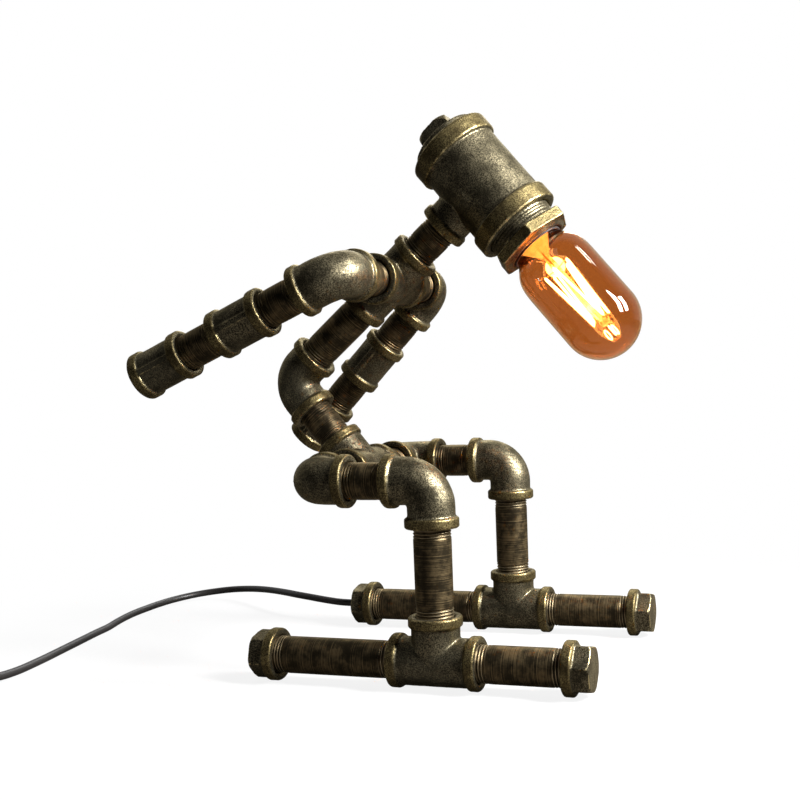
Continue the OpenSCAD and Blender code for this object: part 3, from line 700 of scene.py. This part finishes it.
def nipple(name, body, start, axis, length, low=ENGAGE, high=ENGAGE, worn=0.45):
    """Pipe along axis from start; low and high are the lengths hidden in fittings."""
    mesh = pipe_mesh(name, length, low, high)
    co, _, _ = mesh_numbers(mesh)
    z = co[:, 2]
    angle = np.arctan2(co[:, 1], co[:, 0])
    outside = np.hypot(co[:, 0], co[:, 1]) > PIPE_R - 0.1
    phase = z / PITCH - angle / (2 * math.pi)
    groove = (0.5 - 0.5 * np.cos(2 * math.pi * phase)) ** 0.8
    fade = np.zeros(len(z))
    for past in (z - low, length - high - z):  # how far past the mouth at each end
        run_out = np.clip((THREAD_SHOW + 0.9 - past) / PITCH, 0, 1)
        fade = np.maximum(fade, run_out * (past > -2.1) * outside)
    co[:, :2] *= (1 - 0.8 * GROOVE * groove * fade / PIPE_R)[:, None]
    mesh.vertices.foreach_set("co", co.ravel())
    wear = np.where(fade > 0, 0.95 - 1.5 * groove, 0.0) * fade * worn
    store(mesh, wear=wear, along=z * MM)
    hint = Y if abs(Vector(axis).normalized().y) < 0.9 else X
    mesh.transform(place(start, axis, hint))
    mesh.update()
    return add_smooth(name + "_pipe", mesh, PIPE, "blackened_pipe", body, name)


def nipple_from(name, body, fitting, way, length=SHORT, *ends, **looks):
    """Nipple that starts in a fitting whose centre is given."""
    return nipple(name, body, fitting + way * INTO, way, length, *ends, **looks)


def add_nipples():
    for side, at, away in (("near", NEAR, -Y), ("far", FAR, Y)):
        for end, way, gap in zip(("front", "rear"), (X, -X), FOOT_GAPS[side]):
            length = ENGAGE + gap + CAP_IN
            name = f"{side}_{end}_pipe"
            nipple_from(name, "legs", FOOT + at, way, length, ENGAGE, CAP_IN, worn=0.95)
        nipple_from(f"{side}_shin", "legs", FOOT + at, Z, SHIN_GAP + 2 * ENGAGE, worn=0.8)
        nipple_from(f"{side}_thigh", "legs", KNEE + at, -X)
        nipple_from(f"{side}_hip_nipple", "legs", HIP, away)
        nipple_from(f"{side}_shoulder_nipple", "shoulders", SHOULDER, away)
        arm, out = f"{side}_arm", heading(ARM_TURN[side])
        nipple_from(f"{side}_upper_nipple", arm, SHOULDER + at, out)
        nipple_from(f"{side}_fore_nipple", arm, SHOULDER + at + out * (GAP + COUPLING), out)
    nipple_from("waist_nipple", "torso", HIP, UP_BACK)
    nipple_from("spine_nipple", "spine", WAIST, UP_FRONT, SPINE_GAP + 2 * ENGAGE)
    neck_in = SHORT - ENGAGE - NECK_GAP
    nipple_from("neck_nipple", "shoulders", SHOULDER, UP_FRONT, SHORT, ENGAGE, neck_in)


add_nipples()

# ---- Bulb ----

MOUTH_Z = 49.8  # heights are from the head's centre along the way it faces
NECK_Z = MOUTH_Z - 4
NECK_R = 15.5
SWELL_Z = MOUTH_Z - 0.3
SWELL_L = 7.8
BULB_R = 23.75
BULB_TIP = 131.0
GLASS_WALL = 1.0
BULB_SIDES = 96
CAGE_BACK = (8.8, MOUTH_Z + 18)  # radius and height of the hooks at the base end
CAGE_FRONT = (6.0, BULB_TIP - 24)
STRANDS = 10
LOOP_Z = 117.0  # small loops past the tip end of the cage
LOOPS = 3
STRAND_R, LEAD_R, LOOP_R, ARM_R = 0.8, 0.45, 0.4, 0.3


def turned(name, outline, material, slot, body, *stands_for):
    """Spins an outline of (radius, height) about the head's own axis."""
    bm = bmesh.new()
    verts = [bm.verts.new((r, 0, z)) for r, z in outline]
    edges = [bm.edges.new(pair) for pair in zip(verts, verts[1:])]
    bmesh.ops.spin(
        bm, geom=verts + edges, cent=(0, 0, 0), axis=(0, 0, 1), dvec=(0, 0, 0),
        angle=2 * math.pi, steps=BULB_SIDES, use_merge=True, use_duplicate=False,
    )  # fmt: skip
    bmesh.ops.remove_doubles(bm, verts=bm.verts, dist=0.001)
    bmesh.ops.recalc_face_normals(bm, faces=bm.faces)
    mesh = mesh_from(bm, name)
    mesh.transform(place(HEAD, FACE_WAY))
    return add_smooth(name, mesh, material, slot, body, *stands_for)


def glass_outline(inset):
    """Half outline of the glass from its neck to the middle of its tip."""
    points = [(NECK_R - inset, NECK_Z)]
    for h in np.linspace(0, 4.8, 33) ** 2:
        share = math.tanh(h / SWELL_L) ** 2
        points.append((NECK_R - inset + (BULB_R - NECK_R) * share, SWELL_Z + h))
    r = BULB_R - inset
    for i in range(25):
        a = math.radians(90 * i / 24)
        points.append((r * math.cos(a), BULB_TIP - BULB_R + r * math.sin(a)))
    return points


def wires(name, lines, radius, material, slot, *stands_for):
    """Round wires along lines of points given in the head's own frame."""
    to_head = place(HEAD, FACE_WAY)
    lines = [[to_head @ Vector(point) for point in line] for line in lines]
    return add_rounds(name, lines, radius, 3, material, slot, "head", *stands_for)


def round_point(radius, angle, height):
    return (radius * math.cos(angle), radius * math.sin(angle), height)


def add_bulb():
    outer, inner = glass_outline(0), glass_outline(GLASS_WALL)
    outline = [*outer, *inner[::-1], outer[0]]
    turned("bulb_envelope", outline, AMBER, "amber_glass", "head", "bulb_glass")


def add_filament():
    """Cage of straight strands between two rings of hooks, with its holding wires."""
    line, arms = [], []
    for i in range(STRANDS):
        (r, z), out = (CAGE_FRONT, 1) if i % 2 == 0 else (CAGE_BACK, -1)
        for aside, drop in ((-0.1, 1.2), (0, 0), (0.1, 1.2)):
            line.append(round_point(r, 2 * math.pi * (i + aside) / STRANDS, z - out * drop))
        arms.append([(0, 0, z), round_point(r, 2 * math.pi * i / STRANDS, z + out * 0.4)])
    wires("filament_strands", [line], STRAND_R, WIRE, "filament", "bulb_filament")
    wires("filament_arms", arms, ARM_R, BRASS, "contact_brass")
    back = CAGE_BACK[1]
    leads = []
    for k in (1, -1):
        inside = [(4.2 * k, 0, NECK_Z + 4), (3.6 * k, 0, NECK_Z + 14)]
        leads.append([*inside, (3.0 * k, 0.5, back - 2), (8.0 * k, 0, back)])
    wires("filament_leads", leads, LEAD_R, BRASS, "contact_brass")
    loops = []
    for k in range(LOOPS):
        a = math.radians(360 / LOOPS * k + 40)
        turns = [math.radians(30 * step) for step in range(-1, 13)]
        loops.append([round_point(3 + math.sin(t), a, LOOP_Z - 3.4 * math.cos(t)) for t in turns])
    wires("filament_loops", loops, LOOP_R, WIRE, "filament")


add_bulb()
add_filament()

# ---- Small parts that keep their own solids ----

dress(STEM, "bulb_stem")
dress(BRASS, "holder_shell", "centre_contact", "switch_contacts", "plug_blades", "bulb_base")
dress(HOLDER, "lampholder")
dress(MOULDED, "switch_base", "switch_cover", "plug_body", "grommet")
dress(ROCKER, "switch_rocker")
dress(TIE, "coil_tie")

# ---- Floor, backdrop and lamps ----

FLOOR_DROP = 0.0002  # metres, so that the floor doesn't flicker with what stands on it
BEHIND = (-0.32, 0.95, 0.15)  # where metal and glass can see the white backdrop
BULB_SPOT = (116, -15, 240)
BODY_SPOT = (0, 0, 170)


def add_floor():
    """Pale floor that keeps the lamp's soft shadow and runs out to plain white.

    To metal and to the light that it throws up, it is mostly a dark brown-grey, a painted shade on
    the lamp's underside in place of a dim room.
    """
    n = Nodes("studio_floor")
    path = n.add("LightPath")
    spot = n.add("TexCoord").outputs["Object"]
    away = n.add("VectorMath", {0: spot}, operation="LENGTH").outputs["Value"]
    share = n.math("ADD", 0.87, n.math("MULTIPLY", n.ramp(away, 0.16, 0.42), 0.13))
    white = n.add("Emission", {"Color": rgb(1, 1, 1), "Strength": 1.0})
    pale = n.add("BsdfDiffuse", {"Color": rgb(0.9, 0.9, 0.9)})
    # Painted shade: the dark colour that reflections and bounced light meet on the floor, though
    # the camera sees it pale.
    painted_shade = n.add("BsdfDiffuse", {"Color": rgb(0.1, 0.09, 0.08)})
    seen = n.add("MixShader", {0: share, 1: pale, 2: white})
    camera, through = path.outputs["Is Camera Ray"], path.outputs["Is Transmission Ray"]
    shown = n.math("ADD", camera, through, clamp=True)
    # Reflections get only a twentieth of the pale floor; the rest is the painted shade.
    mirrored = n.math("MULTIPLY", path.outputs["Is Glossy Ray"], 0.05)
    choice = n.math("ADD", shown, mirrored, clamp=True)
    material = n.finish(n.add("MixShader", {0: choice, 1: painted_shade, 2: seen}))
    bm = bmesh.new()
    bmesh.ops.create_grid(bm, x_segments=1, y_segments=1, size=8)
    bmesh.ops.translate(bm, vec=(0, 0, -FLOOR_DROP), verts=bm.verts)
    mesh = mesh_from(bm, "floor")
    mesh.materials.append(material)
    floor = bpy.data.objects.new("floor", mesh)
    bpy.context.scene.collection.objects.link(floor)


def add_world():
    """White backdrop behind the lamp, also for metal and glass, in a dim room."""
    world = bpy.data.worlds.new("studio")
    world.use_nodes = True
    bpy.context.scene.world = world
    tree = world.node_tree
    tree.nodes.clear()
    link = tree.links.new

    def maths(operation, *values):
        """Clamped sum, in which numbers are typed in and sockets linked."""
        node = tree.nodes.new("ShaderNodeMath")
        node.operation = operation
        node.use_clamp = True
        for socket, value in zip(node.inputs, values):
            if isinstance(value, float):
                socket.default_value = value
            else:
                link(value, socket)
        return node.outputs[0]

    path = tree.nodes.new("ShaderNodeLightPath")
    toward = tree.nodes.new("ShaderNodeTexCoord").outputs["Generated"]
    across = tree.nodes.new("ShaderNodeVectorMath")
    across.operation = "DOT_PRODUCT"
    link(toward, across.inputs[0])
    across.inputs[1].default_value = BEHIND
    behind = maths("MULTIPLY_ADD", across.outputs["Value"], 2.5, 0.1)
    glossy = maths("MULTIPLY", path.outputs["Is Glossy Ray"], behind)
    glossy = maths("MULTIPLY", glossy, 0.4)
    seen = maths("ADD", path.outputs["Is Camera Ray"], path.outputs["Is Transmission Ray"])
    seen = maths("ADD", seen, glossy)
    mix = tree.nodes.new("ShaderNodeMixShader")
    link(seen, mix.inputs[0])
    for slot, strength in ((1, 0.012), (2, 1.0)):
        background = tree.nodes.new("ShaderNodeBackground")
        background.inputs["Color"].default_value = rgb(1, 1, 1)
        background.inputs["Strength"].default_value = strength
        link(background.outputs[0], mix.inputs[slot])
    link(mix.outputs[0], tree.nodes.new("ShaderNodeOutputWorld").inputs["Surface"])


def add_lamp(name, spot, aim, size, power):
    """Rectangular white lamp, its size in metres and its power in watts."""
    data = bpy.data.lights.new(name, "AREA")
    data.shape = "RECTANGLE"
    data.size, data.size_y = size
    data.energy = power
    lamp = bpy.data.objects.new(name, data)
    lamp.location = Vector(spot) * MM
    lamp.rotation_mode = "QUATERNION"
    lamp.rotation_quaternion = (Vector(aim) - Vector(spot)).to_track_quat("-Z", "Y")
    lamp.visible_camera = False
    bpy.context.scene.collection.objects.link(lamp)


def add_glow():
    """Warm light that the filament gives to what is round it."""
    for height, power in ((66, 0.35), (98, 0.3)):
        data = bpy.data.lights.new("filament_light", "POINT")
        data.energy = power
        data.color = (1.0, 0.5, 0.16)
        data.shadow_soft_size = 0.006
        lamp = bpy.data.objects.new("filament_light", data)
        lamp.location = (HEAD + FACE_WAY * height) * MM
        bpy.context.scene.collection.objects.link(lamp)


add_floor()
add_world()
add_lamp("key_front", (670, -180, 565), BODY_SPOT, (0.12, 0.4), 16)
add_lamp("key_back", (705, 20, 570), BODY_SPOT, (0.12, 0.4), 16)
add_lamp("top", (80, -560, 860), BODY_SPOT, (0.3, 0.3), 0.2)
add_lamp("left", (-780, -300, 420), (-20, 0, 150), (0.3, 0.5), 0.03)
add_lamp("window_near", (565, 85, 895), BULB_SPOT, (0.03, 0.09), 0.4)
add_lamp("window_far", (556, 185, 880), BULB_SPOT, (0.03, 0.09), 0.4)
add_lamp("low", (-537, -471, 30), (90, -20, 226), (0.03, 0.03), 0.08)
add_lamp("back", (-200, 800, 700), (0, 0, 180), (0.6, 0.4), 3)
add_glow()
bpy.context.scene.view_settings.view_transform = "Standard"
